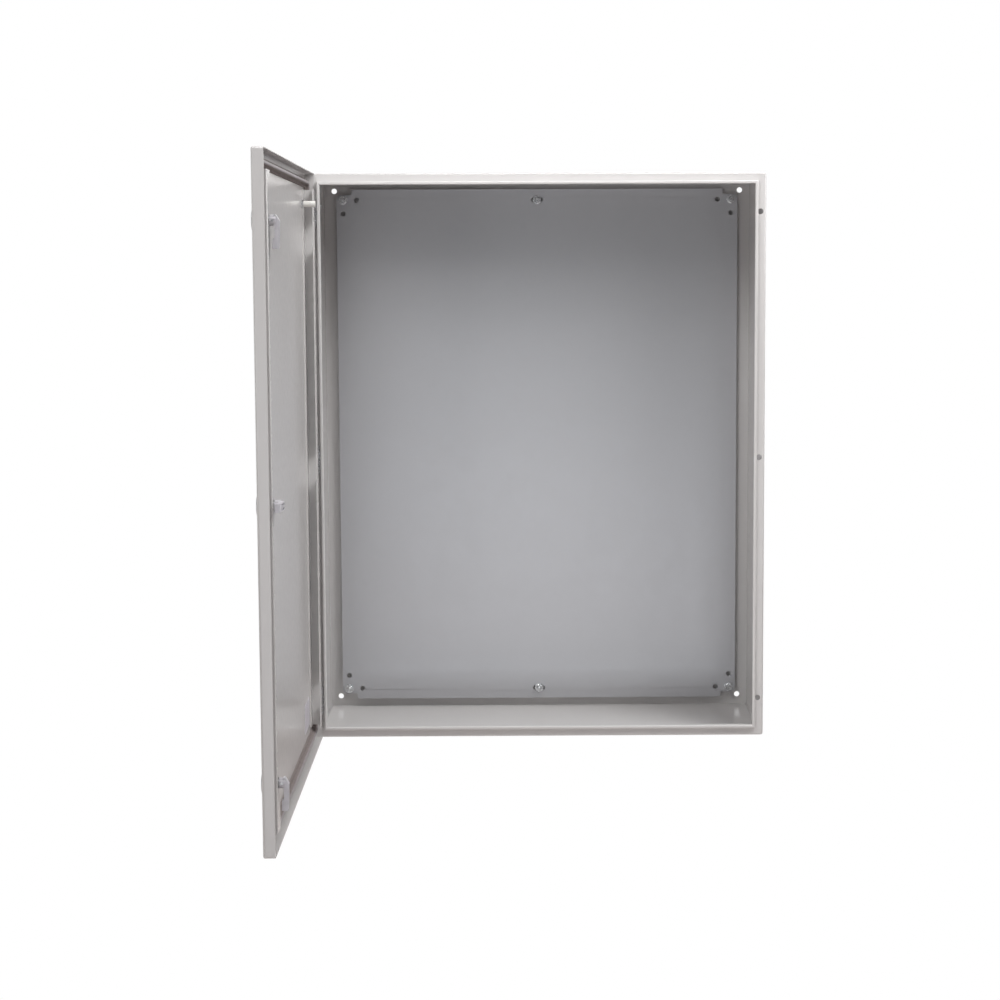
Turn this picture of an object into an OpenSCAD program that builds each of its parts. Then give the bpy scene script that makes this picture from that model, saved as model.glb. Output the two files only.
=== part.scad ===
// Steel wall enclosure: folded cabinet, hinged door on three hinges, three quarter-turn latches
// and a galvanised mounting plate on weld studs.
// Frame: the wall plane is y = 0, the front looks towards -Y, +Z is up and the origin is the
// centre of the back. Door pieces are drawn shut and then swung open about the hinge axis.

/* [Cabinet] */
// Width of the cabinet
cab_w = 800; // [500:10:1200]
// Height of the cabinet
cab_h = 1000; // [700:10:1400]
// Depth from the wall to the front flange
cab_d = 278; // [150:1:400]
// Thickness of the folded steel sheet
sheet_t = 1.5; // [1.2:0.1:2]
// Radius of the four long outer edges
edge_r = 5; // [4.5:0.5:8]
// Outer radius of the fold between a side and the front flange
fold_r = 3; // [2.5:0.1:3.4]

/* [Rim of the door opening] */
// Width of the flat flange, from the side of the cabinet to the rain lip
flange_w = 14.5; // [13.5:0.1:18]
// How far the rain lip stands out from the flange
lip_h = 10; // [9:0.1:11]
// Width of the rain lip
lip_w = 5.5; // [5:0.1:7]
// Radius of the front edges of the rain lip
lip_r = 2; // [1.6:0.1:2.4]
// Hinge hole in the flange
hinge_hole_d = 10; // [9:0.1:10.5]
// Hinge hole centre, from the side of the cabinet
hinge_hole_in = 10; // [9.5:0.1:10.5]

/* [Wall fixing] */
// Wall bolt hole
wall_hole_d = 10; // [7:0.5:12]
// Wall bolt hole centre, from the side, top or bottom of the cabinet
wall_hole_in = 20; // [16:0.5:24]

/* [Mounting plate] */
// Gap between the plate and each side of the cabinet, outside to edge
plate_side_gap = 25; // [22:0.5:28]
// Gap between the plate and the top or bottom of the cabinet, outside to edge
plate_end_gap = 17.5; // [15:0.5:22]
// Thickness of the plate
plate_t = 2.5; // [2:0.1:3]
// Height of the plate above the rear panel
plate_stand = 12; // [8:0.5:20]
// Width of the corner notch
notch_w = 28; // [26:0.5:36]
// Depth of the corner notch
notch_h = 10; // [6:0.5:11]
// Corner radius of the plate at its ears
ear_r = 8; // [4:0.5:9]
// Weld stud centre, from the side, top or bottom of the cabinet
stud_in = 37.5; // [36.5:0.1:40]
// Weld stud diameter
stud_d = 8; // [6:0.5:8.5]
// Length of stud that stands out of the nut
stud_proud = 5; // [2:0.5:10]
// Distance from a stud to the spare holes beside it
spare_in = 25; // [24:0.5:40]
// Spare hole diameter
spare_d = 9; // [6:0.5:10]
// Length of the slot round a middle stud
slot_l = 22; // [18:0.5:30]
// Spacer diameter
spacer_d = 14; // [12:0.5:16]
// Washer diameter
washer_d = 16; // [15:0.5:19]
// Washer thickness
washer_t = 1.6; // [1:0.1:2.5]
// Nut size across flats
nut_af = 13; // [12:0.5:14]
// Nut height
nut_h = 6.5; // [5:0.1:8]

/* [Door] */
// Angle by which the door stands open
door_open = 89.3; // [60:0.1:110]
// Gap between the door return and the flange
door_gap = 4; // [3.5:0.1:5]
// Outer radius of the door's folds
door_fold_r = 4; // [3:0.1:5]
// Height of the foam gasket
gasket_h = 10; // [8:0.1:12]
// Width of the gasket where it sits on the door
gasket_w = 15; // [12:0.5:16]
// Height of the gasket's flat base strip
gasket_base_h = 3; // [2:0.5:5]
// Width of the flat crown of the gasket
crown_w = 5; // [3:0.5:8]
// Corner radius of the gasket, on its middle line
gasket_r = 12; // [10:0.5:20]
// Gap between the gasket and the lip when the door is shut
seal_gap = 0.5; // [0.3:0.1:1]

/* [Door rails] */
// Height of the rails above the door panel
rail_h = 18; // [14:0.5:19]
// Width of the hinge-side rail
rail_w = 28; // [26:0.5:34]
// Width of the lock-side rail, which the locks pass through
lock_rail_w = 36; // [34:0.5:40]
// Sheet thickness of the rails
rail_t = 1.5; // [1:0.1:2]
// Gap between a rail and the gasket
rail_gap = 1; // [0.5:0.1:4]
// Gap between the end of a rail and the gasket
rail_end_gap = 5; // [1:0.5:10]
// Pitch of the rail perforations
hole_pitch = 25; // [20:1:50]
// Diameter of the rail perforations
rail_hole_d = 5; // [3:0.5:7]
// Middle of the perforations, from the web of the rail
rail_hole_in = 6; // [5.5:0.5:8]
// Height of the access windows in the hinge-side rail
window_h = 48; // [30:1:60]
// Width of the access windows
window_w = 14; // [10:0.5:18]
// Gap between the windows and the web of the rail
window_in = 3; // [2.5:0.1:4]
// How far the middle window lies below the middle of the door
window_drop = 10; // [0:1:20]
// Distance between the middles of the access windows
window_pitch = 402; // [250:1:420]

/* [Hinges] */
// Hinge axis, in from the side of the cabinet
axis_in = 6; // [5.5:0.1:6.2]
// Hinge axis, forward of the flange
axis_out = 9; // [8.8:0.1:9.5]
// Upper and lower hinge centre, from the top or bottom of the cabinet
hinge_in = 68; // [60:1:120]
// Height of a hinge
hinge_h = 49; // [40:1:70]
// Height of each fixed knuckle
knuckle_h = 11; // [8:0.5:14]
// Outer radius of the knuckles
knuckle_r = 3.4; // [3:0.1:3.6]
// Hinge pin diameter
pin_d = 4; // [3:0.1:4.4]
// Radial clearance of the pin in the door's knuckle
pin_play = 0.08; // [0.03:0.01:0.1]
// Clearance between neighbouring knuckles
knuckle_play = 0.3; // [0.2:0.05:0.5]
// Hinge screw diameter
hinge_screw_d = 6; // [5:0.5:6]

/* [Latches] */
// Upper and lower latch, from the top or bottom of the cabinet
latch_in = 100; // [80:1:150]
// Diameter of the lock housing where it passes through the door
barrel_d = 22; // [20:0.5:23]
// Diameter of the lock housing's collar
collar_d = 32; // [28:0.5:36]
// Height of the collar
collar_t = 3; // [2:0.1:4]
// Thickness of the seal under the collar
seal_t = 1; // [0.8:0.1:1.5]
// Diameter of the turning core
core_d = 15; // [14:0.5:16]
// Radial clearance of the core in its housing
core_play = 0.1; // [0.05:0.01:0.2]
// Diameter of the cam's hub
hub_d = 15.5; // [15:0.1:17]
// Reach of the cam, from its axis to its tip
cam_reach = 40; // [38:0.5:42]
// Width of the cam arm
cam_w = 12; // [10:0.5:14]
// Thickness of the cam arm
cam_t = 7.2; // [6:0.1:9]
// How far the cam's tip stands out from its arm, towards the door
tip_step = 3; // [1:0.1:4]
// Clearance between the cam's tip and the back of the flange
cam_clear = 0.8; // [0.5:0.1:2]

/* [Earth studs and label] */
// Earth stud diameter
earth_d = 8; // [6:0.5:8]
// Length of the earth stud in the cabinet
earth_l = 17; // [12:0.5:20]
// Earth studs, from the top of the cabinet
earth_in = 55; // [48:1:58]
// Earth stud in the cabinet, back from the flange
earth_back = 46; // [35:1:80]
// Length of the earth stud on the door, with its cap
door_earth_l = 24; // [18:0.5:28]
// Earth stud on the door, from the hinge-side rail
door_earth_off = 20; // [12:0.5:30]
// Length of the blank label
label_l = 85; // [40:1:100]
// Height of the blank label
label_h = 50; // [20:1:60]
// Gap between the blank label and the hinge-side rail
label_gap = 18; // [4:1:40]
// Middle of the blank label, from the bottom of the cabinet
label_in = 64; // [60:1:200]
// Thickness of the blank label
label_t = 0.4; // [0.2:0.1:0.6]

/* [Hidden] */
$fn = 48;

cut = 1;                                  // how far a cutter runs past a face
cab_x = cab_w / 2;
cab_z = cab_h / 2;
rim_w = flange_w + lip_w;                 // side of the cabinet to the clear opening
wall_in = cab_x - sheet_t;                // inner face of a side
lip_y = -(cab_d + lip_h);                 // front of the rain lip
flange_back = -(cab_d - sheet_t);         // back face of the flange
door_in_y = lip_y - seal_gap - gasket_h;  // inner face of the shut door's panel
door_out_y = door_in_y - sheet_t;         // outer face of the shut door's panel
return_y = -(cab_d + door_gap);           // rear edge of the shut door's returns
axis_x = -(cab_x - axis_in);
axis_y = -(cab_d + axis_out);
mitre = 2 * rim_w;                        // how far a mitre cut runs in from a side
stud_x = cab_x - stud_in;
stud_z = cab_z - stud_in;
plate_x = cab_x - plate_side_gap;
plate_z = cab_z - plate_end_gap;
ear_z = plate_z - notch_h;
plate_back = -(sheet_t + plate_stand);
plate_front = plate_back - plate_t;
nut_y = plate_front - washer_t;           // back of the plate nuts
gasket_in = flange_w + lip_w / 2;         // side of the cabinet to the gasket's middle line
crown_draft = 0.5;                        // how far each side of the crown leans in
rail_in = gasket_in + gasket_w / 2 + rail_gap;
rail_len = cab_h - 2 * (gasket_in + gasket_w / 2 + rail_end_gap);
rail_top = door_in_y + rail_h;            // outer face of the rails, towards the cabinet
rail_fold_r = rail_t + 0.5;               // outer radius of a rail's folds
rail_hole_end = 15;                       // least distance from a rail hole to the rail's end
latch_x = cab_x - rail_in - lock_rail_w / 2;
cam_back = flange_back + cam_clear;       // face of the cam tip that grips the flange
cam_arm = cam_back + tip_step;            // face of the cam's arm towards the door
cam_end = cam_arm + cam_t;                // outer face of the cam's arm
hub_gap = 1;                              // cam's hub to the rail
hub_y = rail_top + hub_gap;
hub_end = cam_arm;                        // where the hub runs into the arm
barrel_gap = 1;                           // lock barrel to the rail
barrel_end = rail_top - rail_t - barrel_gap;
barrel_play = 0.25;                       // radial clearance of the barrel in the door
seal_back = 1;                            // seal's edge, in from the collar's edge
hub_play = 1;                             // radial clearance of the cam's hub in the rail
lock_nut_t = 5;
lock_nut_af = barrel_d + 4;
shank_d = core_d - 6;                     // core where the cam sits on it
collar_face = door_out_y - seal_t - collar_t;
core_face = collar_face + 2;              // outer face of the core, sunk in the collar
key_wall = 2;                             // core's wall round the key recess
key_deep = 8;
key_pin_r = 2;
key_bit_out = 3.6;                        // reach of the two key bits, from the axis
key_bit_t = 2;
tip_l = 15;                               // length of the cam's tip block
tip_r = 0.7;                              // bevel of the tip's gripping edge
cam_foot = hub_d / 2 + 0.3;               // foot of the cam on its hub, from the axis
heel_h = 2.5;                             // height of the cam over the hub at its heel
nose_h = 1;                               // height of the slope at the cam's nose
groove_w = 2;                             // grooves in the outer face of the cam
groove_deep = 2.5;
groove_end = 8;                           // end of the grooves, back from the cam's tip
rib_pitch = 2;                            // cuts across the end of the tip
rib_cut = 0.8;
grub_d = 4;                               // cam screw
grub_l = 2;
grub_socket = 2;
bracket_t = 2.5;                          // base of a hinge bracket
base_out = 2;                             // base of a bracket, past the axis
lug_gap = 1.3;                            // lugs to the rain lip
lug_out = flange_w - axis_in - lug_gap;
spigot_play = 0.2;                        // hinge bracket's spigot in the flange hole
screw_sunk = 0.2;                         // front end of a hinge screw, sunk in the bracket
hinge_head_af = 10;
hinge_head_h = 4;
pin_head_d = pin_d + 1.6;
pin_head_h = 1.5;
leaf_in = axis_in - door_fold_r;          // hinge axis to the start of the door's fold
leaf_t = 1.5;
leaf_foot = 3;                            // reach of the leaf's foot, from the axis
leaf_foot_t = 2;
hinge_z = [cab_z - hinge_in, 0, -(cab_z - hinge_in)];
latch_z = [cab_z - latch_in, 0, -(cab_z - latch_in)];
latch_turn = [90, 0, 90];                 // 0 points the cam at the free edge, 90 points it down
knuckle_gap = hinge_h - 2 * knuckle_h;    // space between the fixed knuckles
leaf_notch = hinge_h + 5;                 // height of the cut-out in the door's return
notch_deep = 7;                           // cut-out runs this far in front of the hinge axis
earth_z = cab_z - earth_in;
earth_y = -(cab_d - earth_back);
earth_nut_t = 4;
rail_edge_x = -(cab_x - rail_in - rail_w); // edge of the hinge-side rail
door_earth_x = rail_edge_x + door_earth_off;
stud_cap_t = 2;                           // end wall of the cap on the door's earth stud
stud_cap_wall = 1.2;
label_x = rail_edge_x + label_gap;
label_z = -(cab_z - label_in);

painted = [0.80, 0.80, 0.77];
zinc = [0.75, 0.76, 0.78];
cast = [0.66, 0.66, 0.65];
foam = [0.42, 0.41, 0.40];
rubber = [0.15, 0.15, 0.15];

// A solid of a shape drawn in X and Z, from y_front back to y_back.
module prism_y(y_front, y_back) {
    translate([0, y_back, 0]) rotate([90, 0, 0]) linear_extrude(y_back - y_front) children();
}

// A rod along Y at x, z.
module rod_y(r, y_front, y_back, x = 0, z = 0) {
    translate([x, y_back, z]) rotate([90, 0, 0]) cylinder(r = r, h = y_back - y_front);
}

// A hexagonal bar along Y at x, z, measured across its flats.
module hex_y(af, y_front, y_back, x = 0, z = 0) {
    translate([x, y_back, z]) rotate([90, 0, 0]) cylinder(d = af / cos(30), h = y_back - y_front, $fn = 6);
}

module block(low, high) {
    translate(low) cube(high - low);
}

module rounded_rect(w, h, r) {
    square([w - 2 * r, h], center = true);
    square([w, h - 2 * r], center = true);
    for (x = [-1, 1], z = [-1, 1]) translate([x * (w / 2 - r), z * (h / 2 - r)]) circle(r);
}

// A profile carried round all four sides, w by h, with mitred corners. The profile's x runs
// inwards from the outer face and its y is the place along Y.
module four_sides(w, h, y_front, y_back) {
    for (turn = [0:3])
        rotate([0, 90 * turn, 0])
            mitred_side(turn % 2 == 0 ? w / 2 : h / 2, turn % 2 == 0 ? h / 2 : w / 2, y_front, y_back)
                children();
}

module mitred_side(half, run, y_front, y_back) {
    intersection() {
        translate([-half, 0, -run]) linear_extrude(2 * run) children();
        prism_y(y_front - cut, y_back + cut)
            polygon([[-half - cut, -run - cut], [-half + mitre, -run + mitre],
                     [-half + mitre, run - mitre], [-half - cut, run + cut]]);
    }
}

// Quarter fold between a side (x = 0) and a face (y = face), sheet inside the outer radius r.
module fold(r, face) {
    intersection() {
        translate([0, face]) square(r);
        difference() {
            translate([r, face + r]) circle(r);
            translate([r, face + r]) circle(r - sheet_t);
        }
    }
}

module hung() {
    translate([axis_x, axis_y, 0]) rotate([0, 0, -door_open]) translate([-axis_x, -axis_y, 0]) children();
}

// ---- Cabinet ----

module rim_profile() {
    fold(fold_r, -cab_d);
    translate([fold_r, -cab_d]) square([flange_w + sheet_t - fold_r, sheet_t]);
    difference() {
        union() {
            translate([flange_w, lip_y + lip_r]) square([lip_w, lip_h + sheet_t - lip_r]);
            translate([flange_w + lip_r, lip_y]) square([lip_w - 2 * lip_r, lip_r + 1]);
            for (x = [lip_r, lip_w - lip_r]) translate([flange_w + x, lip_y + lip_r]) circle(lip_r);
        }
        translate([flange_w + sheet_t, lip_y + sheet_t]) square([lip_w - 2 * sheet_t, lip_h + cut]);
    }
}

module hinge_holes() {
    for (side = [-1, 1], z = hinge_z)
        intersection() {
            rod_y(hinge_hole_d / 2, -cab_d - cut, flange_back + cut, side * (cab_x - hinge_hole_in), z);
            translate([side * (cab_x - flange_w / 2), -cab_d, z])
                cube([flange_w, 4 * sheet_t, 2 * hinge_hole_d], center = true);
        }
}

module body_shell() color(painted) {
    difference() {
        union() {
            prism_y(-cab_d + fold_r, 0)
                difference() {
                    rounded_rect(cab_w, cab_h, edge_r);
                    rounded_rect(cab_w - 2 * sheet_t, cab_h - 2 * sheet_t, edge_r - sheet_t);
                }
            intersection() {
                four_sides(cab_w, cab_h, lip_y, 0) rim_profile();
                prism_y(lip_y - cut, 0) rounded_rect(cab_w, cab_h, edge_r);
            }
        }
        hinge_holes();
    }
}

module rear_panel() color(painted) {
    difference() {
        prism_y(-sheet_t, 0)
            rounded_rect(cab_w - 2 * sheet_t, cab_h - 2 * sheet_t, edge_r - sheet_t);
        for (x = [-1, 1], z = [-1, 1])
            rod_y(wall_hole_d / 2, -sheet_t - cut, cut,
                  x * (cab_x - wall_hole_in), z * (cab_z - wall_hole_in));
    }
}

module earth_stud() color(zinc)
    translate([-wall_in, earth_y, earth_z]) rotate([0, 90, 0]) cylinder(d = earth_d, h = earth_l);

module earth_nut() color(zinc)
    translate([-wall_in, earth_y, earth_z]) rotate([0, 90, 0])
        difference() {
            cylinder(d = nut_af / cos(30), h = earth_nut_t, $fn = 6);
            translate([0, 0, -cut]) cylinder(d = earth_d, h = earth_nut_t + 2 * cut);
        }

// ---- Mounting plate and its fixings ----

module at_studs() {
    for (x = [-stud_x, 0, stud_x], z = [-stud_z, stud_z]) translate([x, 0, z]) children();
}

module plate_outline() {
    square([2 * (plate_x - notch_w), 2 * plate_z], center = true);
    rounded_rect(2 * plate_x, 2 * ear_z, ear_r);
}

module mounting_plate() color(zinc) {
    hole_r = (stud_d + 1) / 2;
    difference() {
        prism_y(plate_front, plate_back) plate_outline();
        for (x = [-1, 1], z = [-1, 1]) {
            rod_y(hole_r, plate_front - cut, plate_back + cut, x * stud_x, z * stud_z);
            rod_y(spare_d / 2, plate_front - cut, plate_back + cut, x * (stud_x - spare_in), z * stud_z);
            rod_y(spare_d / 2, plate_front - cut, plate_back + cut, x * stud_x, z * (stud_z - spare_in));
        }
        for (z = [-1, 1]) {
            for (x = [-1, 1])
                rod_y(hole_r, plate_front - cut, plate_back + cut, x * (slot_l / 2 - hole_r), z * stud_z);
            block([-slot_l / 2 + hole_r, plate_front - cut, z * stud_z - hole_r],
                  [slot_l / 2 - hole_r, plate_back + cut, z * stud_z + hole_r]);
        }
    }
}

module plate_studs() color(zinc)
    at_studs() rod_y(stud_d / 2, nut_y - nut_h - stud_proud, -sheet_t);

module plate_spacers() color(zinc)
    at_studs() difference() {
        rod_y(spacer_d / 2, plate_back, -sheet_t);
        rod_y(stud_d / 2, plate_back - cut, -sheet_t + cut);
    }

module plate_washers() color(zinc)
    at_studs() difference() {
        rod_y(washer_d / 2, nut_y, plate_front);
        rod_y(stud_d / 2, nut_y - cut, plate_front + cut);
    }

module plate_nuts() color(zinc)
    at_studs() difference() {
        hex_y(nut_af, nut_y - nut_h, nut_y);
        rod_y(stud_d / 2, nut_y - nut_h - cut, nut_y + cut);
    }

// ---- Hinges: each is drawn with its axis at x = 0, y = 0 ----

module at_hinge(i) {
    translate([axis_x, axis_y, hinge_z[i]]) children();
}

module upright(r, z_low, z_high) {
    translate([0, 0, z_low]) cylinder(r = r, h = z_high - z_low);
}

module hinge_bracket(i) color(zinc) {
    half = hinge_h / 2;
    inner = knuckle_gap / 2;
    screw_x = hinge_hole_in - axis_in;
    at_hinge(i) difference() {
        union() {
            for (side = [-1, 1]) {
                low = side > 0 ? inner : -half;
                upright(knuckle_r, low, low + knuckle_h);
                block([-knuckle_r, 0, low], [lug_out, axis_out, low + knuckle_h]);
            }
            block([-base_out, axis_out - bracket_t, -inner - cut], [lug_out, axis_out, inner + cut]);
            intersection() {
                rod_y(hinge_hole_d / 2 - spigot_play, axis_out - cut, axis_out + sheet_t, screw_x, 0);
                block([-hinge_hole_d, 0, -hinge_hole_d], [lug_out, axis_out + cab_d, hinge_hole_d]);
            }
        }
        upright(pin_d / 2, -half - cut, half + cut);
        rod_y(hinge_screw_d / 2, 0, axis_out + 2 * sheet_t, screw_x, 0);
    }
}

module hinge_pin(i) color(zinc)
    at_hinge(i) {
        upright(pin_d / 2, -hinge_h / 2, hinge_h / 2 + pin_head_h);
        upright(pin_head_d / 2, hinge_h / 2, hinge_h / 2 + pin_head_h);
    }

module hinge_screws() color(zinc)
    for (z = hinge_z) translate([-(cab_x - hinge_hole_in), 0, z]) {
        rod_y(hinge_screw_d / 2, -cab_d - bracket_t + screw_sunk, flange_back + hinge_head_h);
        hex_y(hinge_head_af, flange_back, flange_back + hinge_head_h);
    }

module door_hinge_leaf(i) color(zinc) {
    half = knuckle_gap / 2 - knuckle_play;
    foot = door_in_y - axis_y;
    hung() at_hinge(i) difference() {
        union() {
            upright(knuckle_r, -half, half);
            block([-leaf_in, foot, -half], [leaf_t, -knuckle_r + cut, half]);
            block([-leaf_in, foot, -hinge_h / 2], [leaf_foot, foot + leaf_foot_t, hinge_h / 2]);
        }
        upright(pin_d / 2 + pin_play, -half - cut, half + cut);
    }
}

// ---- Door ----

module door_edge() {
    fold(door_fold_r, door_out_y);
    translate([0, door_out_y + door_fold_r]) square([sheet_t, return_y - door_out_y - door_fold_r]);
}

module door_panel() color(painted)
    hung() difference() {
        union() {
            prism_y(door_out_y, door_in_y)
                square([cab_w - 2 * door_fold_r, cab_h - 2 * door_fold_r], center = true);
            intersection() {
                four_sides(cab_w, cab_h, door_out_y, return_y) door_edge();
                prism_y(door_out_y - cut, return_y + cut) rounded_rect(cab_w, cab_h, door_fold_r);
            }
        }
        for (z = hinge_z)
            block([-cab_x - cut, axis_y - notch_deep, z - leaf_notch / 2],
                  [-cab_x + sheet_t + cut, return_y + cut, z + leaf_notch / 2]);
        for (z = latch_z)
            rod_y(barrel_d / 2 + barrel_play, door_out_y - cut, door_in_y + cut, latch_x, z);
    }

module gasket_profile() {
    half = gasket_w / 2;
    crown_foot = crown_w / 2 + crown_draft;
    polygon([[-half, 0], [half, 0], [half, gasket_base_h], [crown_foot, gasket_base_h],
             [crown_w / 2, gasket_h], [-crown_w / 2, gasket_h], [-crown_foot, gasket_base_h],
             [-half, gasket_base_h]]);
}

module door_gasket() color(foam) {
    gx = cab_x - gasket_in;
    gz = cab_z - gasket_in;
    hung() translate([0, door_in_y, 0]) {
        for (side = [-1, 1]) {
            translate([side * gx, 0, -gz + gasket_r])
                linear_extrude(2 * (gz - gasket_r)) gasket_profile();
            translate([-gx + gasket_r, 0, side * gz]) rotate([0, 90, 0])
                linear_extrude(2 * (gx - gasket_r)) gasket_profile();
        }
        for (turn = [0:3], x = turn < 2 ? 1 : -1, z = turn == 0 || turn == 3 ? 1 : -1)
            translate([x * (gx - gasket_r), 0, z * (gz - gasket_r)])
                rotate([-90, turn * 90 - 90, 0])
                    rotate_extrude(angle = 90) translate([gasket_r, 0]) gasket_profile();
    }
}

// Rail with its open side on the door panel.
module box_profile(w) {
    difference() {
        union() {
            square([w, rail_h - rail_fold_r]);
            translate([rail_fold_r, 0]) square([w - 2 * rail_fold_r, rail_h]);
            for (x = [rail_fold_r, w - rail_fold_r])
                translate([x, rail_h - rail_fold_r]) circle(rail_fold_r);
        }
        translate([rail_t, -cut]) square([w - 2 * rail_t, rail_h - rail_t + cut]);
    }
}

// Rail with a foot on the door panel, a web at x = 0 and its open side opposite the web.
module channel_profile(w) {
    difference() {
        union() {
            translate([rail_fold_r, 0]) square([w - rail_fold_r, rail_h]);
            translate([0, rail_fold_r]) square([w, rail_h - 2 * rail_fold_r]);
            for (y = [rail_fold_r, rail_h - rail_fold_r])
                translate([rail_fold_r, y]) circle(rail_fold_r);
        }
        translate([rail_t, rail_t]) square([w, rail_h - 2 * rail_t]);
    }
}

// A rail of the child's profile, with a row of holes in its outer face that keeps clear of the locks.
module rail(hole_x, locks) {
    count = floor((rail_len / 2 - rail_hole_end) / hole_pitch);
    difference() {
        translate([0, door_in_y, -rail_len / 2]) linear_extrude(rail_len) children();
        for (i = [-count:count])
            if (!locks || min([for (z = latch_z) abs(i * hole_pitch - z)]) > hub_d)
                rod_y(rail_hole_d / 2, rail_top - 2 * rail_t, rail_top + cut, hole_x, i * hole_pitch);
    }
}

module hinge_side_rail() color(painted)
    hung() translate([-cab_x + rail_in, 0, 0]) difference() {
        rail(rail_hole_in, false) channel_profile(rail_w);
        for (i = [-1:1])
            translate([0, 0, i * window_pitch - window_drop])
                block([window_in, rail_top - 2 * rail_t, -window_h / 2],
                      [window_in + window_w, rail_top + cut, window_h / 2]);
    }

module lock_side_rail() color(painted)
    hung() difference() {
        translate([cab_x - rail_in - lock_rail_w, 0, 0])
            rail(lock_rail_w - rail_hole_in, true) box_profile(lock_rail_w);
        for (z = latch_z)
            rod_y(hub_d / 2 + hub_play, rail_top - 2 * rail_t, rail_top + cut, latch_x, z);
    }

module door_earth_stud() color(zinc)
    hung() rod_y(earth_d / 2, door_in_y, door_in_y + door_earth_l - stud_cap_t, door_earth_x, earth_z);

module door_earth_nut() color(zinc)
    hung() difference() {
        hex_y(nut_af, door_in_y, door_in_y + earth_nut_t, door_earth_x, earth_z);
        rod_y(earth_d / 2, door_in_y - cut, door_in_y + earth_nut_t + cut, door_earth_x, earth_z);
    }

module door_stud_cap() color(painted)
    hung() difference() {
        rod_y(earth_d / 2 + stud_cap_wall, door_in_y + earth_nut_t, door_in_y + door_earth_l,
              door_earth_x, earth_z);
        rod_y(earth_d / 2, door_in_y, door_in_y + door_earth_l - stud_cap_t, door_earth_x, earth_z);
    }

module blank_label() color("white")
    hung() block([label_x, door_in_y, label_z - label_h / 2],
                 [label_x + label_l, door_in_y + label_t, label_z + label_h / 2]);

// ---- Latches: each is drawn with its axis at x = 0, z = 0, cam towards +X ----

module at_latch(i) {
    hung() translate([latch_x, 0, latch_z[i]]) children();
}

module lock_housing(i) color(cast)
    at_latch(i) difference() {
        union() {
            rod_y(collar_d / 2, collar_face, door_out_y - seal_t);
            rod_y(barrel_d / 2, door_out_y - seal_t - cut, barrel_end);
        }
        rod_y(core_d / 2 + core_play, collar_face - cut, barrel_end + cut);
    }

module lock_seal(i) color(rubber)
    at_latch(i) difference() {
        rod_y(collar_d / 2 - seal_back, door_out_y - seal_t, door_out_y);
        rod_y(barrel_d / 2, door_out_y - seal_t - cut, door_out_y + cut);
    }

module lock_nut(i) color(zinc)
    at_latch(i) difference() {
        hex_y(lock_nut_af, door_in_y, door_in_y + lock_nut_t);
        rod_y(barrel_d / 2, door_in_y - cut, door_in_y + lock_nut_t + cut);
    }

module lock_core(i) color(cast)
    at_latch(i) rotate([0, latch_turn[i], 0]) difference() {
        union() {
            rod_y(core_d / 2, core_face, barrel_end);
            rod_y(shank_d / 2, barrel_end - cut, hub_end);
        }
        difference() {
            rod_y(core_d / 2 - key_wall, core_face - cut, core_face + key_deep);
            rod_y(key_pin_r, core_face - 2 * cut, core_face + key_deep + cut);
            block([-key_bit_out, core_face - 2 * cut, -key_bit_t / 2],
                  [key_bit_out, core_face + key_deep + cut, key_bit_t / 2]);
        }
    }

// Side view of the cam: heel over the hub, sloping outer face, nose and the tip that grips.
module cam_outline() {
    tip_in = cam_reach - tip_l;
    polygon([[-cam_foot, cam_arm - cut], [-cam_foot, cam_arm + heel_h - 1],
             [1 - cam_foot, cam_arm + heel_h], [1, cam_end], [cam_reach - 2 * nose_h, cam_end - nose_h],
             [cam_reach, cam_end - 2 * nose_h], [cam_reach, cam_back + tip_r],
             [cam_reach - tip_r, cam_back], [tip_in, cam_back], [tip_in - 1, cam_arm],
             [cam_foot, cam_arm], [cam_foot, cam_arm - cut]]);
}

module latch_cam(i) color(cast)
    at_latch(i) rotate([0, latch_turn[i], 0]) difference() {
        union() {
            rod_y(hub_d / 2, hub_y, cam_arm + heel_h - 0.5);
            translate([0, 0, -cam_w / 2]) linear_extrude(cam_w) cam_outline();
        }
        rod_y(shank_d / 2, hub_y - cut, hub_end);
        for (z = [-cam_w / 4, cam_w / 4])
            block([groove_w, cam_end - groove_deep, z - groove_w / 2],
                  [cam_reach - groove_end, cam_end + cut, z + groove_w / 2]);
        for (step = [1:3])
            block([cam_reach - rib_cut, cam_back + rib_pitch * step - rib_cut / 2, -cam_w / 2 - cut],
                  [cam_reach + cut, cam_back + rib_pitch * step + rib_cut / 2, cam_w / 2 + cut]);
        translate([0, (hub_y + hub_end) / 2, 0]) cylinder(d = grub_d, h = hub_d);
    }

module cam_screw(i) color(zinc)
    at_latch(i) rotate([0, latch_turn[i], 0]) translate([0, (hub_y + hub_end) / 2, shank_d / 2])
        difference() {
            cylinder(d = grub_d, h = grub_l);
            translate([0, 0, grub_l / 2]) cylinder(d = grub_socket, h = grub_l, $fn = 6);
        }

body_shell();
rear_panel();
mounting_plate();
plate_studs();
plate_spacers();
plate_washers();
plate_nuts();
earth_stud();
earth_nut();
hinge_bracket(0);  // hinge_bracket_top
hinge_bracket(1);  // hinge_bracket_middle
hinge_bracket(2);  // hinge_bracket_bottom
hinge_pin(0);  // hinge_pin_top
hinge_pin(1);  // hinge_pin_middle
hinge_pin(2);  // hinge_pin_bottom
hinge_screws();
door_panel();
door_gasket();
hinge_side_rail();
lock_side_rail();
door_hinge_leaf(0);  // door_hinge_leaf_top
door_hinge_leaf(1);  // door_hinge_leaf_middle
door_hinge_leaf(2);  // door_hinge_leaf_bottom
door_earth_stud();
door_earth_nut();
door_stud_cap();
blank_label();
lock_housing(0);  // lock_housing_top
lock_housing(1);  // lock_housing_middle
lock_housing(2);  // lock_housing_bottom
lock_seal(0);  // lock_seal_top
lock_seal(1);  // lock_seal_middle
lock_seal(2);  // lock_seal_bottom
lock_nut(0);  // lock_nut_top
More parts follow.
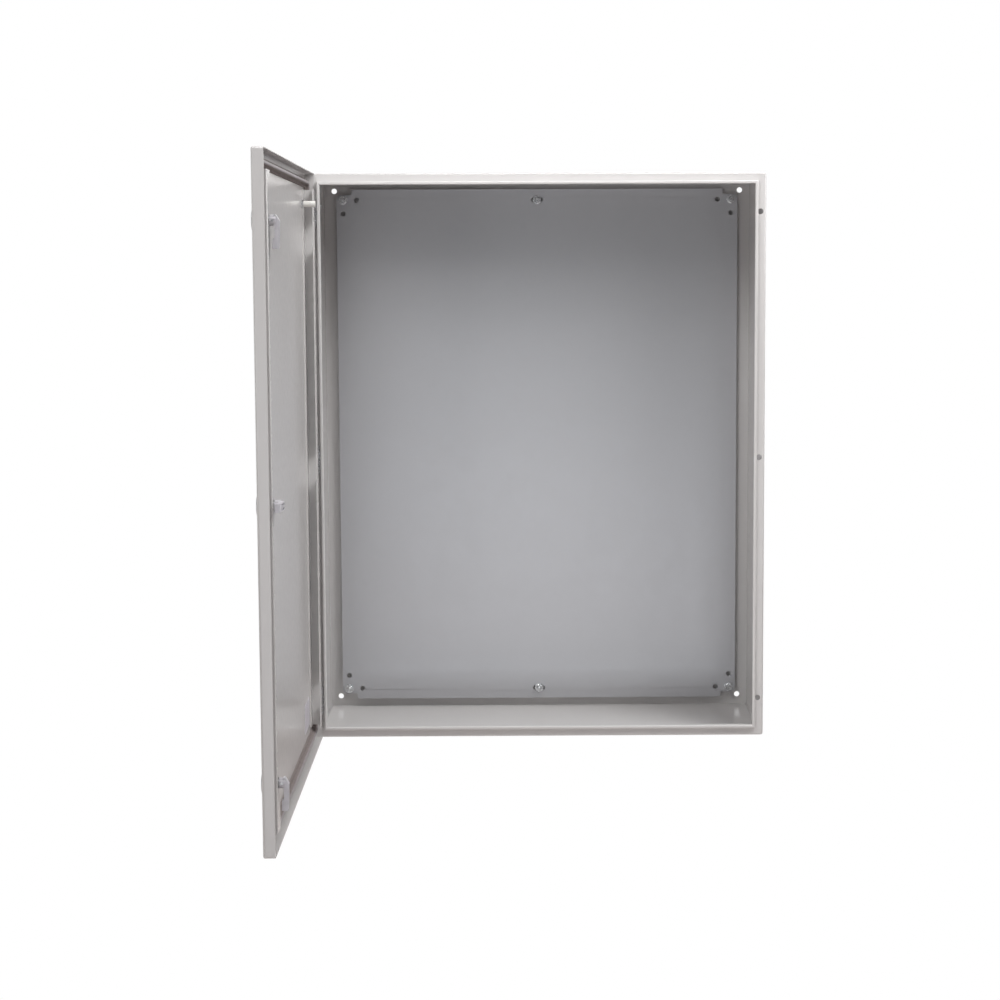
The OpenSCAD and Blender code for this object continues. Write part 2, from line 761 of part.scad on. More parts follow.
lock_nut(1);  // lock_nut_middle
lock_nut(2);  // lock_nut_bottom
lock_core(0);  // lock_core_top
lock_core(1);  // lock_core_middle
lock_core(2);  // lock_core_bottom
latch_cam(0);  // latch_cam_top
latch_cam(1);  // latch_cam_middle
latch_cam(2);  // latch_cam_bottom
cam_screw(0);  // cam_screw_top
cam_screw(1);  // cam_screw_middle
cam_screw(2);  // cam_screw_bottom
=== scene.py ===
import math

import bmesh
import bpy
from mathutils import Matrix, Vector


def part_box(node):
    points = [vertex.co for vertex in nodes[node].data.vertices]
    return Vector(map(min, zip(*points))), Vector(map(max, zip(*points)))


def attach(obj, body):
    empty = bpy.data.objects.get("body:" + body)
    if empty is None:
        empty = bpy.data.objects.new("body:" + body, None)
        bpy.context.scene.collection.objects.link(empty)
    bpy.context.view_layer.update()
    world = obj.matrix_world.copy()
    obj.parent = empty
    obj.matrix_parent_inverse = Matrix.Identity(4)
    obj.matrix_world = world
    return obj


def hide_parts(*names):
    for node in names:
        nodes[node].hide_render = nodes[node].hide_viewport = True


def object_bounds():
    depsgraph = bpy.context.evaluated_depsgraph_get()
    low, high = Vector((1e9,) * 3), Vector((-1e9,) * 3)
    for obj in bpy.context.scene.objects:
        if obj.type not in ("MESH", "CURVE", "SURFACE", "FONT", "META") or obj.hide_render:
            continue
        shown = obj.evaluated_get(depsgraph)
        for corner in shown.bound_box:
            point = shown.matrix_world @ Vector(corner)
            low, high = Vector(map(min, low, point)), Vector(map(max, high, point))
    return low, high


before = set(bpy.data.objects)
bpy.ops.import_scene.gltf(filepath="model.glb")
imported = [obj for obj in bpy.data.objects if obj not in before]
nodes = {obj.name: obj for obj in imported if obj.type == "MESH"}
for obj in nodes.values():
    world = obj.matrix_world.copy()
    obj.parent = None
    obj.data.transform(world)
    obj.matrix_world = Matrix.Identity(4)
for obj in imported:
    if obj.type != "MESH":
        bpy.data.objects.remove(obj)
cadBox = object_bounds()
mm = 0.001
print("frame loaded:", len(nodes), "solid nodes")


# Materials. Every finish starts from one shader, and its texture runs on object coordinates in metres.

def startMaterial(name, color, metallic, roughness):
    material = bpy.data.materials.new(name)
    material.use_nodes = True
    tree = material.node_tree
    shader = tree.nodes["Principled BSDF"]
    shader.inputs["Base Color"].default_value = (*color, 1)
    shader.inputs["Metallic"].default_value = metallic
    shader.inputs["Roughness"].default_value = roughness
    material.diffuse_color = (*color, 1)
    return material, tree, shader


def addNode(tree, kind, **settings):
    node = tree.nodes.new(kind)
    for key, value in settings.items():
        if hasattr(node, key):
            setattr(node, key, value)
        else:
            node.inputs[key].default_value = value
    return node


def placeOf(tree, stretch=(1, 1, 1)):
    coordinates = addNode(tree, "ShaderNodeTexCoord")
    mapping = addNode(tree, "ShaderNodeMapping", Scale=stretch)
    tree.links.new(coordinates.outputs["Object"], mapping.inputs["Vector"])
    return mapping.outputs["Vector"]


def noiseOf(tree, place, scale, detail=3.0):
    noise = addNode(tree, "ShaderNodeTexNoise", Scale=scale, Detail=detail)
    tree.links.new(place, noise.inputs["Vector"])
    return noise.outputs["Fac"]


def spread(tree, value, low, high, fromLow=0.3, fromHigh=0.7):
    spreadNode = addNode(tree, "ShaderNodeMapRange")
    for key, number in (("From Min", fromLow), ("From Max", fromHigh), ("To Min", low), ("To Max", high)):
        spreadNode.inputs[key].default_value = number
    tree.links.new(value, spreadNode.inputs["Value"])
    return spreadNode.outputs["Result"]


def tintBetween(tree, value, colorA, colorB):
    mix = addNode(tree, "ShaderNodeMix", data_type="RGBA")
    mix.inputs["A"].default_value = (*colorA, 1)
    mix.inputs["B"].default_value = (*colorB, 1)
    tree.links.new(value, mix.inputs["Factor"])
    return mix.outputs["Result"]


def bumpFrom(tree, shader, value, height, strength, normal=None):
    bump = addNode(tree, "ShaderNodeBump", Strength=strength, Distance=height)
    tree.links.new(value, bump.inputs["Height"])
    if normal is not None:
        tree.links.new(normal, bump.inputs["Normal"])
    tree.links.new(bump.outputs["Normal"], shader.inputs["Normal"])
    return bump.outputs["Normal"]


powderCoat = {
    "color": (0.625, 0.612, 0.606),
    "shade": 0.985,              # darkest patch as a share of the colour
    "roughness": (0.17, 0.20),
    "patchScale": 6,             # all scales are per metre
    "glossScale": 90,
    "peelScale": 420,            # orange peel
    "peelHeight": 0.000006,
    "peelStrength": 0.6,
    "grainScale": 1600,
    "grainHeight": 0.000003,
    "grainStrength": 0.5,
}


def makePowderCoat(name, finish):
    material, tree, shader = startMaterial(name, finish["color"], 0.0, finish["roughness"][0])
    place = placeOf(tree)
    patches = noiseOf(tree, place, finish["patchScale"], 4)
    darker = [c * finish["shade"] for c in finish["color"]]
    tint = tintBetween(tree, spread(tree, patches, 0, 1), darker, finish["color"])
    tree.links.new(tint, shader.inputs["Base Color"])
    rough = spread(tree, noiseOf(tree, place, finish["glossScale"], 4), *finish["roughness"])
    tree.links.new(rough, shader.inputs["Roughness"])
    peelNoise = noiseOf(tree, place, finish["peelScale"], 2)
    peel = bumpFrom(tree, shader, peelNoise, finish["peelHeight"], finish["peelStrength"])
    grainNoise = noiseOf(tree, place, finish["grainScale"], 2)
    bumpFrom(tree, shader, grainNoise, finish["grainHeight"], finish["grainStrength"], peel)
    return material


galvanised = {
    "color": (0.518, 0.518, 0.534),
    "dull": (0.498, 0.498, 0.514),
    "metallic": 0.7,
    "roughness": (0.33, 0.36),
    "spangle": 70,               # crystals per metre
    "spangleShade": 0.75,        # darkest crystal, from 0 for dull to 1 for the full colour
    "cloudScale": 5,
    "cloudShade": 0.6,
    "rollScale": (3, 1, 240),    # fine lines left by rolling, which run along X
    "rollHeight": 0.00002,
    "rollStrength": 0.4,
}


def makeGalvanised(name, finish):
    firstRoughness = finish["roughness"][0]
    material, tree, shader = startMaterial(name, finish["color"], finish["metallic"], firstRoughness)
    place = placeOf(tree)
    crystals = addNode(tree, "ShaderNodeTexVoronoi", Scale=finish["spangle"])
    tree.links.new(place, crystals.inputs["Vector"])
    shade = addNode(tree, "ShaderNodeSeparateColor")
    tree.links.new(crystals.outputs["Color"], shade.inputs["Color"])
    cloud = noiseOf(tree, place, finish["cloudScale"], 5)
    both = addNode(tree, "ShaderNodeMath", operation="MULTIPLY")
    tree.links.new(spread(tree, shade.outputs["Red"], finish["spangleShade"], 1, 0, 1), both.inputs[0])
    tree.links.new(spread(tree, cloud, finish["cloudShade"], 1), both.inputs[1])
    tree.links.new(tintBetween(tree, both.outputs[0], finish["dull"], finish["color"]),
                   shader.inputs["Base Color"])
    rough = spread(tree, shade.outputs["Green"], *finish["roughness"], 0, 1)
    tree.links.new(rough, shader.inputs["Roughness"])
    lines = noiseOf(tree, placeOf(tree, finish["rollScale"]), 1, 3)
    bumpFrom(tree, shader, lines, finish["rollHeight"], finish["rollStrength"])
    return material


metals = {
    "zincPlate": {"color": (0.78, 0.79, 0.80), "metallic": 0.95, "roughness": (0.2, 0.3), "grain": 500,
                  "height": 0.000006},
    "castZinc": {"color": (0.60, 0.585, 0.62), "metallic": 0.25, "roughness": (0.42, 0.55), "grain": 900,
                 "height": 0.00003},
    "satinZinc": {"color": (0.62, 0.62, 0.63), "metallic": 0.9, "roughness": (0.30, 0.40), "grain": 900,
                  "height": 0.00001},
}

# How the metals' wear lies on them, with scales per metre.
wear = {"cloudScale": 60, "duller": 0.86, "glossScale": 220, "strength": 0.7}


def makeMetal(name):
    finish = metals[name]
    firstRoughness = finish["roughness"][0]
    material, tree, shader = startMaterial(name, finish["color"], finish["metallic"], firstRoughness)
    place = placeOf(tree)
    cloud = noiseOf(tree, place, wear["cloudScale"], 4)
    duller = [c * wear["duller"] for c in finish["color"]]
    tree.links.new(tintBetween(tree, spread(tree, cloud, 0, 1), duller, finish["color"]),
                   shader.inputs["Base Color"])
    tree.links.new(spread(tree, noiseOf(tree, place, wear["glossScale"], 3), *finish["roughness"]),
                   shader.inputs["Roughness"])
    bumpFrom(tree, shader, noiseOf(tree, place, finish["grain"], 3), finish["height"], wear["strength"])
    return material


softs = {
    "blackRubber": {"color": (0.02, 0.02, 0.02), "roughness": (0.5, 0.65), "grain": 1200,
                    "height": 0.00003},
    "capPlastic": {"color": (0.62, 0.61, 0.58), "roughness": (0.35, 0.45), "grain": 300,
                   "height": 0.00002},
    "labelFoil": {"color": (0.55, 0.53, 0.58), "roughness": (0.32, 0.4), "grain": 150,
                  "height": 0.00001},
}

# How the rubber, plastic and foil vary, with scales per metre.
softWear = {"cloudScale": 45, "lighter": 1.25, "glossScale": 160, "strength": 0.8}

ruled = {"pitch": 5 * mm, "line": 0.1, "ink": (0.42, 0.41, 0.46)}    # line: share of the pitch


def ruleLines(material):
    # Fine blank lines across the label, as on an empty form.
    tree = material.node_tree
    shader = tree.nodes["Principled BSDF"]
    plain = shader.inputs["Base Color"].links[0].from_socket
    ways = addNode(tree, "ShaderNodeSeparateXYZ")
    tree.links.new(placeOf(tree), ways.inputs["Vector"])
    step = addNode(tree, "ShaderNodeMath", operation="DIVIDE")
    step.inputs[1].default_value = ruled["pitch"]
    tree.links.new(ways.outputs["Z"], step.inputs[0])
    share = addNode(tree, "ShaderNodeMath", operation="FRACT")
    tree.links.new(step.outputs[0], share.inputs[0])
    inked = addNode(tree, "ShaderNodeMath", operation="LESS_THAN")
    inked.inputs[1].default_value = ruled["line"]
    tree.links.new(share.outputs[0], inked.inputs[0])
    mix = addNode(tree, "ShaderNodeMix", data_type="RGBA")
    mix.inputs["B"].default_value = (*ruled["ink"], 1)
    tree.links.new(plain, mix.inputs["A"])
    tree.links.new(inked.outputs[0], mix.inputs["Factor"])
    tree.links.new(mix.outputs["Result"], shader.inputs["Base Color"])


def makeSoft(name):
    finish = softs[name]
    material, tree, shader = startMaterial(name, finish["color"], 0.0, finish["roughness"][0])
    place = placeOf(tree)
    lighter = [min(1, c * softWear["lighter"]) for c in finish["color"]]
    cloud = spread(tree, noiseOf(tree, place, softWear["cloudScale"], 5), 0, 1)
    tree.links.new(tintBetween(tree, cloud, finish["color"], lighter), shader.inputs["Base Color"])
    tree.links.new(spread(tree, noiseOf(tree, place, softWear["glossScale"], 3), *finish["roughness"]),
                   shader.inputs["Roughness"])
    bumpFrom(tree, shader, noiseOf(tree, place, finish["grain"], 3), finish["height"],
             softWear["strength"])
    return material


foam = {
    "flank": (0.25, 0.217, 0.208),
    # The crown colour is lighter than the flanks: a painted highlight where light catches the crown.
    "crown": (0.36, 0.335, 0.345),
    "crownFrom": 0.72,           # share of the height at which the smooth crown starts
    "roughness": (0.8, 0.5),     # flank, crown
    "specular": 0.25,
    "patchScale": 60,
    "patchShade": 0.85,
    "ripple": 1.9 * mm,          # distance between the ripples that run across the flanks
    "rippleWay": (0.3, 1, 1),
    "rippleHeight": 0.00016,
    "rippleStrength": 0.8,
    "crownRipple": 0.08,         # share of the ripple that is left on the crown
    "cellScale": 900,
    "cellHeight": 0.00006,
    "cellStrength": 0.6,
}


def makeFoam(name, finish, outward, foot, rise):
    # outward is the way out of the door's face, and foot the face's distance along it.
    material, tree, shader = startMaterial(name, finish["flank"], 0.0, finish["roughness"][0])
    shader.inputs["Specular IOR Level"].default_value = finish["specular"]
    place = placeOf(tree)
    level = addNode(tree, "ShaderNodeVectorMath", operation="DOT_PRODUCT")
    level.inputs[1].default_value = outward
    tree.links.new(place, level.inputs[0])
    start = foot + rise * finish["crownFrom"]
    crown = spread(tree, level.outputs["Value"], 0, 1, start, foot + rise)
    patches = spread(tree, noiseOf(tree, place, finish["patchScale"], 5), finish["patchShade"], 1)
    # Painted highlight: the seal is tinted from the flank colour to the lighter crown colour, from the
    # crown's height up.
    tinted = tintBetween(tree, crown, finish["flank"], finish["crown"])
    shaded = addNode(tree, "ShaderNodeVectorMath", operation="SCALE")
    tree.links.new(tinted, shaded.inputs[0])
    tree.links.new(patches, shaded.inputs["Scale"])
    tree.links.new(shaded.outputs["Vector"], shader.inputs["Base Color"])
    tree.links.new(spread(tree, crown, *finish["roughness"], 0, 1), shader.inputs["Roughness"])
    way = addNode(tree, "ShaderNodeVectorMath", operation="DOT_PRODUCT")
    way.inputs[1].default_value = finish["rippleWay"]
    tree.links.new(place, way.inputs[0])
    turn = addNode(tree, "ShaderNodeMath", operation="MULTIPLY")
    turn.inputs[1].default_value = math.tau / finish["ripple"]
    tree.links.new(way.outputs["Value"], turn.inputs[0])
    wave = addNode(tree, "ShaderNodeMath", operation="SINE")
    tree.links.new(turn.outputs[0], wave.inputs[0])
    faded = addNode(tree, "ShaderNodeMath", operation="MULTIPLY")
    tree.links.new(wave.outputs[0], faded.inputs[0])
    tree.links.new(spread(tree, crown, 1, finish["crownRipple"], 0, 1), faded.inputs[1])
    ripples = bumpFrom(tree, shader, faded.outputs[0], finish["rippleHeight"], finish["rippleStrength"])
    cells = noiseOf(tree, place, finish["cellScale"], 3)
    bumpFrom(tree, shader, cells, finish["cellHeight"], finish["cellStrength"], ripples)
    return material


doorOpen = math.radians(89.3)    # how far the door stands open at rest
doorWay = Vector((math.cos(doorOpen), -math.sin(doorOpen), 0))    # along the door, from its hinge
doorUp = Vector((math.sin(doorOpen), math.cos(doorOpen), 0))      # out of the door's inner face


def gasketFrame():
    # The seal's middle, its reach along the door, and its height, from its box at rest.
    low, high = (Vector(corner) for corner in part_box("door_gasket"))
    reachX, reachY, reachZ = high - low
    side, up = abs(doorWay.y), abs(doorWay.x)
    span = (reachY * side - reachX * up) / (side * side - up * up)
    rise = (reachX * side - reachY * up) / (side * side - up * up)
    foot = (low + high) / 2 - doorUp * rise / 2
    return foot, span, reachZ, rise


gasketFoot, gasketSpan, gasketTall, gasketRise = gasketFrame()
foamSkin = makeFoam("foamSkin", foam, doorUp, gasketFoot.dot(doorUp), gasketRise)
paint = makePowderCoat("powderCoat", powderCoat)
galvanisedSheet = makeGalvanised("galvanisedSheet", galvanised)
metalOf = {name: makeMetal(name) for name in metals}
softOf = {name: makeSoft(name) for name in softs}
ruleLines(softOf["labelFoil"])
print("materials made:", len(bpy.data.materials))


def finishOf(nodeName):
    if nodeName in ("body_shell", "rear_panel", "door_panel", "hinge_side_rail", "lock_side_rail"):
        return paint
    if nodeName == "mounting_plate":
        return galvanisedSheet
    if nodeName == "door_gasket":
        return foamSkin
    if nodeName.startswith("lock_seal"):
        return softOf["blackRubber"]
    if nodeName == "door_stud_cap":
        return softOf["capPlastic"]
    if nodeName == "blank_label":
        return softOf["labelFoil"]
    if nodeName.startswith(("lock_housing", "lock_core")):
        return metalOf["satinZinc"]
    if nodeName.startswith("latch_cam"):
        return metalOf["castZinc"]
    return metalOf["zincPlate"]


edgeWidths = {                   # rounded edges, in millimetres
    "mounting_plate": 0.35, "plate_washers": 0.25, "plate_spacers": 0.25, "latch_cam": 0.6,
    "lock_housing": 0.8, "lock_core": 0.3, "lock_seal": 0.3, "hinge_bracket": 0.5, "door_hinge_leaf": 0.3,
    "hinge_pin": 0.4, "hinge_screws": 0.4, "door_stud_cap": 0.6, "blank_label": 0.12, "cam_screw": 0.15,
    "body_shell": 0.25, "door_panel": 0.25, "rear_panel": 0.25, "hinge_side_rail": 0.2,
    "lock_side_rail": 0.2,
}

edgeRounding = {"joinWithin": 0.002 * mm, "segments": 2, "sharperThan": math.radians(40)}


def roundEdges(thing, width):
    weld = thing.modifiers.new("joined faces", "WELD")
    weld.merge_threshold = edgeRounding["joinWithin"]
    bevel = thing.modifiers.new("rounded edges", "BEVEL")
    bevel.width = width * mm
    bevel.segments = edgeRounding["segments"]
    bevel.limit_method = "ANGLE"
    bevel.angle_limit = edgeRounding["sharperThan"]
    bevel.use_clamp_overlap = True


for nodeName, thing in nodes.items():
    thing.data.materials.clear()
    thing.data.materials.append(finishOf(nodeName))
    for start, width in edgeWidths.items():
        if nodeName.startswith(start):
            roundEdges(thing, width)
print("solid nodes dressed")


# Pieces that stand for a plainer solid

def makePiece(name, grid, material, body, solids):
    bmesh.ops.recalc_face_normals(grid, faces=grid.faces)
    mesh = bpy.data.meshes.new(name)
    grid.to_mesh(mesh)
    grid.free()
    mesh.materials.append(material)
    thing = bpy.data.objects.new(name, mesh)
    bpy.context.scene.collection.objects.link(thing)
    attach(thing, body)
    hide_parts(*solids)
    return thing


def smoothUnder(thing, degrees):
    for face in thing.data.polygons:
        face.use_smooth = True
    with bpy.context.temp_override(object=thing, active_object=thing, selected_objects=[thing],
                                   selected_editable_objects=[thing]):
        bpy.ops.object.shade_smooth_by_angle(angle=math.radians(degrees))


def addRings(grid, rings, closed=False):
    # Skins a list of rings of points with quads, and caps both ends unless the list is closed.
    loops = [[grid.verts.new(point) for point in ring] for ring in rings]
    pairs = list(zip(loops, loops[1:] + loops[:1] if closed else loops[1:]))
    for first, second in pairs:
        for i in range(len(first)):
            j = (i + 1) % len(first)
            grid.faces.new((first[i], first[j], second[j], second[i]))
    if not closed:
        grid.faces.new(loops[0][::-1])
        grid.faces.new(loops[-1])


thread = {
    "steps": 24,                 # round the rod
    "perPitch": 4,
    "pitch": 1.25 * mm,
    "depth": 0.6 * mm,
    "tip": 0.9 * mm,             # chamfer at the end
    "smoothUnder": 40,           # degrees
}


def addThreadedRod(grid, place, radius, length, plain):
    # A rod along Z of place, plain up to the given length and threaded from there to its chamfered tip.
    rings = []
    steps = thread["steps"]
    count = int((length - plain) / thread["pitch"] * thread["perPitch"])
    levels = [0, plain] + [plain + (length - plain) * (i + 1) / count for i in range(count)]
    for level in levels:
        ring = []
        toEnd = length - level
        bevelled = radius - max(0, thread["tip"] - toEnd)
        for i in range(steps):
            turn = i / steps
            wave = abs(((level / thread["pitch"] - turn) % 1) * 2 - 1)
            cut = thread["depth"] * wave if level > plain else 0
            r = min(radius - cut, bevelled)
            angle = math.tau * turn
            ring.append(place @ Vector((r * math.cos(angle), r * math.sin(angle), level)))
        rings.append(ring)
    addRings(grid, rings)


hexNut = {
    "perSide": 6,
    "chamfer": math.radians(30),
    "face": 0.96,                # round face as a share of the width across flats
    "countersink": 0.5 * mm,
    "boreRoom": 1.01,            # bore as a share of its stud
    "smoothUnder": 30,
}


def addHexNut(grid, place, flats, height, bore):
    # A nut along Z of place, with both faces turned down at the corners and a countersunk bore.
    steps = 6 * hexNut["perSide"]
    half = flats / 2
    faceRing = half * hexNut["face"]
    sink = hexNut["countersink"]
    rings = [[] for _ in range(8)]    # once round the section, as in the list below
    for i in range(steps):
        angle = math.tau * i / steps
        within = (angle + math.pi / 6) % (math.pi / 3) - math.pi / 6
        corner = half / math.cos(within)
        drop = max(0, corner - faceRing) * math.tan(hexNut["chamfer"])
        around = [(bore, sink), (bore + sink, 0), (faceRing, 0), (corner, drop),
                  (corner, height - drop), (faceRing, height), (bore + sink, height),
                  (bore, height - sink)]
        for ring, (r, level) in zip(rings, around):
            ring.append(place @ Vector((r * math.cos(angle), r * math.sin(angle), level)))
    addRings(grid, rings, closed=True)


def along(place, direction):
    turn = Vector(direction).to_track_quat("Z", "Y").to_matrix().to_4x4()
    return Matrix.Translation(place) @ turn


plateStud = {
    "radius": 4 * mm,
    "nutFlats": 13 * mm,
    "plain": 13 * mm,            # length without a thread
    "nutTurn": 0.4,              # how the first nut is turned, in radians
    "nutTurnStep": 0.35,         # and how much further each next one
}


def makePlateStuds():
    low, high = (Vector(corner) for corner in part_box("plate_studs"))
    nutLow, nutHigh = (Vector(corner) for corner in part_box("plate_nuts"))
    sideX = high.x - plateStud["radius"]
    endZ = high.z - plateStud["radius"]
    studs = bmesh.new()
    nuts = bmesh.new()
    bore = plateStud["radius"] * hexNut["boreRoom"]
    for i, (x, z) in enumerate((a, b) for a in (-sideX, 0, sideX) for b in (-endZ, endZ)):
        addThreadedRod(studs, along((x, high.y, z), (0, -1, 0)), plateStud["radius"], high.y - low.y,
                       plateStud["plain"])
        turn = Matrix.Rotation(plateStud["nutTurn"] + plateStud["nutTurnStep"] * i, 4, "Z")
        place = along((x, nutHigh.y, z), (0, -1, 0)) @ turn
        addHexNut(nuts, place, plateStud["nutFlats"], nutHigh.y - nutLow.y, bore)
    studPiece = makePiece("plateStudThreads", studs, metalOf["zincPlate"], "cabinet", ["plate_studs"])
    nutPiece = makePiece("plateNutFacets", nuts, metalOf["zincPlate"], "cabinet", ["plate_nuts"])
    smoothUnder(studPiece, thread["smoothUnder"])
    smoothUnder(nutPiece, hexNut["smoothUnder"])


earthPoint = {"radius": 4 * mm, "plain": 1 * mm, "nutFlats": 13 * mm, "nutHeight": 4 * mm}


def makeEarthPoint(name, studNode, nutNode, body, out):
    # A stud and its nut that stand up along out, at the places of their solids.
    low, high = (Vector(corner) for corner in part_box(studNode))
    radius = earthPoint["radius"]
    length = (high.x - low.x - 2 * radius * abs(out.y)) / abs(out.x)
    foot = (low + high) / 2 - out * length / 2
    nutLow, nutHigh = (Vector(corner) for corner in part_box(nutNode))
    nutFoot = (nutLow + nutHigh) / 2 - out * earthPoint["nutHeight"] / 2
    stud = bmesh.new()
    addThreadedRod(stud, along(foot, out), radius, length, earthPoint["plain"])
    nut = bmesh.new()
    addHexNut(nut, along(nutFoot, out), earthPoint["nutFlats"], earthPoint["nutHeight"],
              radius * hexNut["boreRoom"])
    studPiece = makePiece(name + "Thread", stud, metalOf["zincPlate"], body, [studNode])
    nutPiece = makePiece(name + "Nut", nut, metalOf["zincPlate"], body, [nutNode])
    smoothUnder(studPiece, thread["smoothUnder"])
    smoothUnder(nutPiece, hexNut["smoothUnder"])


makePlateStuds()
makeEarthPoint("cabinetEarth", "earth_stud", "earth_nut", "cabinet", Vector((1, 0, 0)))
makeEarthPoint("doorEarth", "door_earth_stud", "door_earth_nut", "door", doorUp)
print("studs and nuts made")


gasket = {
    "width": 15 * mm,
    "cornerR": 12 * mm,
    "cornerSteps": 10,
    "smoothUnder": 50,
    "profileTall": 10,
    # Half of the profile, in millimetres: distance from the middle line, height.
    "profile": [(7.5, 0), (7.5, 2.2), (7.1, 2.8), (6.4, 3.05), (4.4, 3.3), (3.5, 4.0), (3.05, 5.2),
                (2.85, 7.2), (2.6, 8.6), (2.1, 9.5), (1.2, 9.95), (0, 10)],
}


def makeGasket(setup):
    halfU = (gasketSpan - setup["width"]) / 2
    halfZ = (gasketTall - setup["width"]) / 2
    r = setup["cornerR"]
    path = []
    for k, (signU, signZ) in enumerate(((1, 1), (-1, 1), (-1, -1), (1, -1))):
        center = (signU * (halfU - r), signZ * (halfZ - r))
        for i in range(setup["cornerSteps"] + 1):
            angle = math.pi / 2 * (k + i / setup["cornerSteps"])
            path.append((center[0] + r * math.cos(angle), center[1] + r * math.sin(angle),
                         math.cos(angle), math.sin(angle)))
    half = [(t * mm, h / setup["profileTall"] * gasketRise) for t, h in setup["profile"]]
    profile = half + [(-t, h) for t, h in half[-2::-1]]
    grid = bmesh.new()
    rings = []
    for u, z, outU, outZ in path:
        rings.append([gasketFoot + doorWay * (u + t * outU) + Vector((0, 0, z + t * outZ)) + doorUp * h
                      for t, h in profile])
    addRings(grid, rings, closed=True)
    piece = makePiece("doorSeal", grid, foamSkin, "door", ["door_gasket"])
    smoothUnder(piece, setup["smoothUnder"])


makeGasket(gasket)
print("door seal made")


# Studio

camera = {
    "place": (-0.0176, -4.0394, 0.3230),
    "pitch": -5.973,
    "yaw": -0.449,
    "roll": 0.221,
    "lens": 76.78,               # lens and sensor in millimetres
    "sensor": 36,
    "shift": (-0.0456, -0.0021),
    "farthest": 60,
}


def placeCamera(setup):
    data = bpy.data.cameras.new("camera")
    data.lens = setup["lens"]
    data.sensor_width = setup["sensor"]
    data.shift_x, data.shift_y = setup["shift"]
    data.clip_end = setup["farthest"]
    thing = bpy.data.objects.new("camera", data)
    turn = Matrix.Rotation(math.radians(setup["yaw"]), 4, "Z")
    turn = turn @ Matrix.Rotation(math.radians(90 + setup["pitch"]), 4, "X")
    turn = turn @ Matrix.Rotation(math.radians(-setup["roll"]), 4, "Z")
    thing.matrix_world = Matrix.Translation(setup["place"]) @ turn
    bpy.context.scene.collection.objects.link(thing)
    bpy.context.scene.camera = thing


placeCamera(camera)

# The rear lamps stay out of reflections, so that low views don't turn the paint white.
lamps = {
    "steepRight": {"place": (1.1, -1.2, 2.2), "aim": (0, -0.2, 0), "size": (1, 1), "watts": 38},
    "overhead": {"place": (0.3, -0.35, 2.4), "aim": (0.3, -0.35, 0), "size": (1.6, 0.5), "watts": 11},
    "midLeft": {"place": (-1.3, -3.4, 0.1), "aim": (0.2, -0.15, 0), "size": (0.8, 0.8), "watts": 7},
    "keyRight": {"place": (1.8, -1.8, 1.5), "aim": (0, -0.1, 0), "size": (1, 1), "watts": 21},
    "topStrip": {"place": (-0.2, -0.75, 0.95), "aim": (-0.2, -0.3, 0.5), "size": (0.7, 0.15),
                 "watts": 1.7},
    "doorTop": {"place": (-0.6, -2.2, 1.8), "aim": (-0.2, -0.4, 0), "size": (0.9, 0.9), "watts": 17},
    "low": {"place": (0, -3.8, -0.75), "aim": (0, 0, -0.1), "size": (3, 0.9), "watts": 10,
            "color": (0.94, 0.97, 1)},
    "frontCard": {"place": (-0.25, -4.7, -0.15), "aim": (-0.25, 0, -0.1), "size": (1.3, 0.6),
                  "watts": 3.2, "color": (0.88, 0.94, 1)},
    "rear": {"place": (0.3, 3.2, 0.5), "aim": (0, 0, 0), "size": (3.4, 2), "watts": 45,
             "glossy": False},
    "rearLeft": {"place": (-3.2, 0.3, 0.4), "aim": (-0.4, -0.5, 0), "size": (2.4, 2), "watts": 42,
                 "glossy": False},
}


def placeLamp(name, setup):
    data = bpy.data.lights.new(name, "AREA")
    data.shape = "RECTANGLE"
    data.size, data.size_y = setup["size"]
    data.energy = setup["watts"]
    data.color = setup.get("color", (1, 1, 1))
    thing = bpy.data.objects.new(name, data)
    thing.visible_glossy = setup.get("glossy", True)
    thing.location = setup["place"]
    aim = Vector(setup["aim"]) - Vector(setup["place"])
    thing.rotation_euler = aim.to_track_quat("-Z", "Y").to_euler()
    bpy.context.scene.collection.objects.link(thing)


for lampName, setup in lamps.items():
    placeLamp(lampName, setup)

studio = {
    "ambientUp": 0.12,           # soft light from above the horizon
    "ambientDown": 0.04,         # and from below it
    "ambientEdge": (-0.3, 0.3),  # heights between which one turns into the other
    "ambientColor": (1.0, 0.90, 0.87),
    "roomGloss": 0.06,           # what metal and gloss show of the room in front
    "backdropGloss": 1.0,        # and of the white backdrop behind
    "glossEdge": (-0.1, 0.3),
    "floorColor": (0.80, 0.74, 0.72),
    "floorRoughness": 0.9,
    "floorDrop": 0.9,            # metres below the cabinet
    "floorSize": 16,
}


def byRay(tree, flag, otherwise, seen):
    mix = addNode(tree, "ShaderNodeMix", data_type="FLOAT")
    for key, value in (("Factor", flag), ("A", otherwise), ("B", seen)):
        if isinstance(value, float):
            mix.inputs[key].default_value = value
        else:
            tree.links.new(value, mix.inputs[key])
    return mix.outputs["Result"]


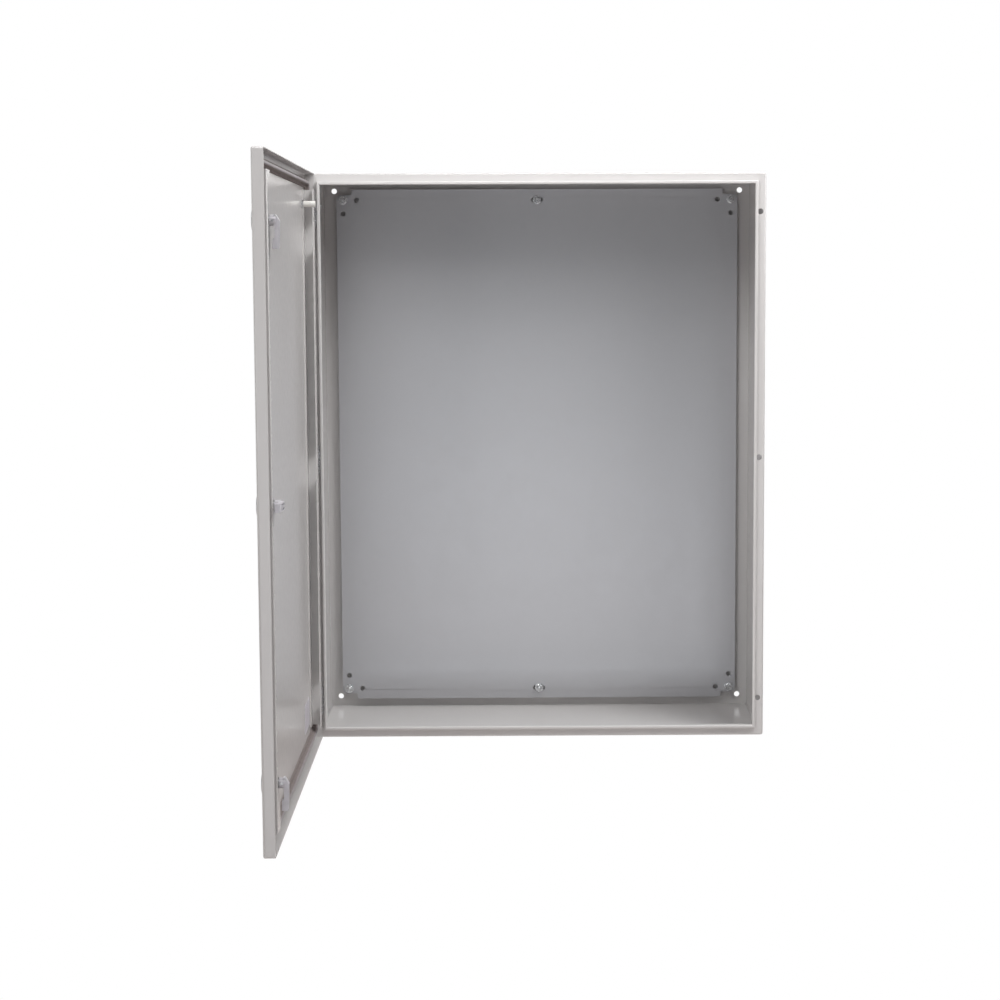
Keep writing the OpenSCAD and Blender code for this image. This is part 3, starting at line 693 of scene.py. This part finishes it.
def makeWorld(setup):
    world = bpy.data.worlds.new("softRoom")
    world.use_nodes = True
    tree = world.node_tree
    background = tree.nodes["Background"]
    coordinates = addNode(tree, "ShaderNodeTexCoord")
    ways = addNode(tree, "ShaderNodeSeparateXYZ")
    tree.links.new(coordinates.outputs["Generated"], ways.inputs["Vector"])
    soft = spread(tree, ways.outputs["Z"], setup["ambientDown"], setup["ambientUp"],
                  *setup["ambientEdge"])
    gloss = spread(tree, ways.outputs["Y"], setup["roomGloss"], setup["backdropGloss"],
                   *setup["glossEdge"])
    path = addNode(tree, "ShaderNodeLightPath")
    direct = addNode(tree, "ShaderNodeMath", operation="MAXIMUM")
    tree.links.new(path.outputs["Is Camera Ray"], direct.inputs[0])
    tree.links.new(path.outputs["Is Transmission Ray"], direct.inputs[1])
    around = byRay(tree, path.outputs["Is Glossy Ray"], soft, gloss)
    tree.links.new(byRay(tree, direct.outputs[0], around, 1.0), background.inputs["Strength"])
    tint = tintBetween(tree, path.outputs["Is Diffuse Ray"], (1, 1, 1), setup["ambientColor"])
    tree.links.new(tint, background.inputs["Color"])
    bpy.context.scene.world = world


def makeFloor(setup):
    mesh = bpy.data.meshes.new("floor")
    half = setup["floorSize"] / 2
    low = cadBox[0][2] - setup["floorDrop"]
    grid = bmesh.new()
    corners = [(-half, -half), (half, -half), (half, half), (-half, half)]
    grid.faces.new([grid.verts.new((x, y, low)) for x, y in corners])
    grid.to_mesh(mesh)
    grid.free()
    thing = bpy.data.objects.new("floor", mesh)
    bpy.context.scene.collection.objects.link(thing)
    material = bpy.data.materials.new("paleFloor")
    material.use_nodes = True
    tree = material.node_tree
    shader = tree.nodes["Principled BSDF"]
    shader.inputs["Base Color"].default_value = (*setup["floorColor"], 1)
    shader.inputs["Roughness"].default_value = setup["floorRoughness"]
    glow = addNode(tree, "ShaderNodeEmission", Strength=1.0)
    path = addNode(tree, "ShaderNodeLightPath")
    mix = addNode(tree, "ShaderNodeMixShader")
    tree.links.new(path.outputs["Is Camera Ray"], mix.inputs["Fac"])
    tree.links.new(shader.outputs["BSDF"], mix.inputs[1])
    tree.links.new(glow.outputs["Emission"], mix.inputs[2])
    tree.links.new(mix.outputs["Shader"], tree.nodes["Material Output"].inputs["Surface"])
    mesh.materials.append(material)


makeWorld(studio)
makeFloor(studio)
bpy.context.scene.view_settings.view_transform = "Standard"
print("studio set")
